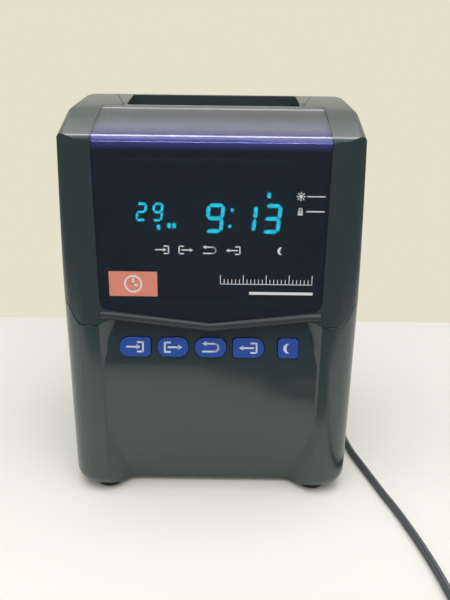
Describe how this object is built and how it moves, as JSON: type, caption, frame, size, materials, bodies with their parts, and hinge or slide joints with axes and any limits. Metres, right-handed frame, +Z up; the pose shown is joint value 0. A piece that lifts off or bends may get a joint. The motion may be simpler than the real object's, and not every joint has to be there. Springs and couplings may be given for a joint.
{
  "type": "time clock",
  "caption": "Desk time recorder with hinged hood, smoked display window, top card slot, punch buttons, card feed and printer inside, and a flat power cord.",
  "frame": {"origin": "middle of the case's bounding box on the table, under the feet", "axes": "+X to the right seen from the front, +Y to the rear wall, +Z up"},
  "size_m": [0.1987, 0.3655, 0.2277],
  "materials": {
    "case_plastic": "fine textured charcoal",
    "window_plastic": "smoked dark blue, polished",
    "button_plastic": "blue, satin",
    "dark_plastic": "black moulded",
    "foot_rubber": "black",
    "roller_rubber": "dark grey",
    "cord_plastic": "dark blue-black flexible plastic",
    "sheet_steel": "plated sheet",
    "bright_steel": "ground shaft",
    "lock_metal": "plated",
    "motor_steel": "grey can",
    "core_steel": "lacquered laminations",
    "winding_tape": "yellow tape",
    "gear_plastic": "ivory moulded",
    "pinion_brass": "turned",
    "belt_rubber": "black",
    "ribbon_fabric": "inked",
    "board_green": "lacquered circuit board",
    "chip_black": "moulded",
    "capacitor_blue": "sleeved",
    "battery_green": "sleeved",
    "tube_glass": "clear",
    "display_black": "dark backing",
    "digit_glow": "glowing cyan",
    "blade_brass": "plated"
  },
  "bodies": {
    "base": {"base_shell": "case_plastic", "bottom_plate": "dark_plastic", "rubber_feet": "foot_rubber", "base_screws": "sheet_steel", "left_frame": "sheet_steel", "right_frame": "sheet_steel", "frame_screws": "sheet_steel", "printer_shelf": "sheet_steel", "front_card_guide": "sheet_steel", "rear_card_guide": "sheet_steel", "platen": "roller_rubber", "guide_rails": "bright_steel", "carriage_belt": "belt_rubber", "carriage_motor": "motor_steel", "feed_motor": "motor_steel", "ribbon_case": "dark_plastic", "ribbon_band": "ribbon_fabric", "button_board": "board_green", "button_switches": "chip_black", "main_board": "board_green", "board_chips": "chip_black", "board_capacitors": "capacitor_blue", "power_board": "board_green", "transformer_core": "core_steel", "transformer_coil": "winding_tape", "backup_battery": "battery_green", "hinge_pins": "bright_steel", "cord_gland": "cord_plastic", "power_cord": "cord_plastic", "cord_coil": "cord_plastic", "coil_tie": "dark_plastic", "plug_body": "cord_plastic", "plug_blades": "blade_brass"},
    "hood": {"hood_shell": "case_plastic", "display_window": "window_plastic", "card_funnel": "case_plastic", "display_board": "board_green", "display_tube": "tube_glass", "display_plate": "display_black", "display_digits": "digit_glow", "display_screws": "sheet_steel", "lock_barrel": "lock_metal"},
    "lock": {"lock_plug": "lock_metal", "lock_cam": "sheet_steel"},
    "clock_in": {"clock_in_button": "button_plastic"},
    "go_out": {"go_out_button": "button_plastic"},
    "come_back": {"come_back_button": "button_plastic"},
    "clock_out": {"clock_out_button": "button_plastic"},
    "overnight": {"overnight_button": "button_plastic"},
    "carriage": {"carriage": "dark_plastic", "print_head": "motor_steel"},
    "drive_pulley": {"drive_pulley": "gear_plastic"},
    "idler_pulley": {"idler_pulley": "gear_plastic"},
    "feed_roller": {"feed_shaft": "bright_steel", "feed_rollers": "roller_rubber", "feed_gear": "gear_plastic"},
    "feed_pinion": {"feed_pinion": "pinion_brass"},
    "pinch_roller": {"pinch_rollers": "roller_rubber"},
    "ribbon_knob": {"ribbon_knob": "gear_plastic"}
  },
  "joints": [
    {"name": "hood_hinge", "type": "hinge", "parent": "base", "child": "hood", "pos_m": [0, 0.062, 0.204], "axis": [-1, 0, 0], "range_deg": [0, 75]},
    {"name": "lock_turn", "type": "hinge", "parent": "hood", "child": "lock", "pos_m": [0.076, -0.038, 0.1425], "axis": [-1, 0, 0], "range_deg": [0, 90]},
    {"name": "clock_in_press", "type": "slide", "parent": "base", "child": "clock_in", "axis": [0, 0.9691, -0.2467], "range_m": [0, 0.0012], "stiffness_N_per_m": 300},
    {"name": "go_out_press", "type": "slide", "parent": "base", "child": "go_out", "axis": [0, 0.9691, -0.2467], "range_m": [0, 0.0012], "stiffness_N_per_m": 300},
    {"name": "come_back_press", "type": "slide", "parent": "base", "child": "come_back", "axis": [0, 0.9691, -0.2467], "range_m": [0, 0.0012], "stiffness_N_per_m": 300},
    {"name": "clock_out_press", "type": "slide", "parent": "base", "child": "clock_out", "axis": [0, 0.9691, -0.2467], "range_m": [0, 0.0012], "stiffness_N_per_m": 300},
    {"name": "overnight_press", "type": "slide", "parent": "base", "child": "overnight", "axis": [0, 0.9691, -0.2467], "range_m": [0, 0.0012], "stiffness_N_per_m": 300},
    {"name": "carriage_slide", "type": "slide", "parent": "base", "child": "carriage", "axis": [1, 0, 0], "range_m": [-0.032, 0.032]},
    {"name": "drive_pulley_turn", "type": "hinge", "parent": "base", "child": "drive_pulley", "pos_m": [0.046, -0.0399, 0.0885], "axis": [0, 0, 1], "range_deg": [-306, 306]},
    {"name": "idler_pulley_turn", "type": "hinge", "parent": "base", "child": "idler_pulley", "pos_m": [-0.046, -0.0399, 0.0885], "axis": [0, 0, 1], "range_deg": [-306, 306]},
    {"name": "feed_turn", "type": "hinge", "parent": "base", "child": "feed_roller", "pos_m": [0, -0.0008, 0.162], "axis": [1, 0, 0], "continuous": true},
    {"name": "pinion_turn", "type": "hinge", "parent": "base", "child": "feed_pinion", "pos_m": [0.063, 0.01886, 0.14823], "axis": [1, 0, 0], "continuous": true},
    {"name": "pinch_turn", "type": "hinge", "parent": "base", "child": "pinch_roller", "pos_m": [0, -0.0132, 0.162], "axis": [1, 0, 0], "continuous": true},
    {"name": "ribbon_knob_turn", "type": "hinge", "parent": "base", "child": "ribbon_knob", "pos_m": [-0.034, -0.037, 0.131], "axis": [0, 0, 1], "continuous": true}
  ],
  "couplings": [
    {"joint": "drive_pulley_turn", "follows": "carriage_slide", "rad_per_m": -166.67},
    {"joint": "idler_pulley_turn", "follows": "carriage_slide", "rad_per_m": -166.67},
    {"joint": "pinion_turn", "follows": "feed_turn", "ratio": -4},
    {"joint": "pinch_turn", "follows": "feed_turn", "ratio": -1.4}
  ]
}
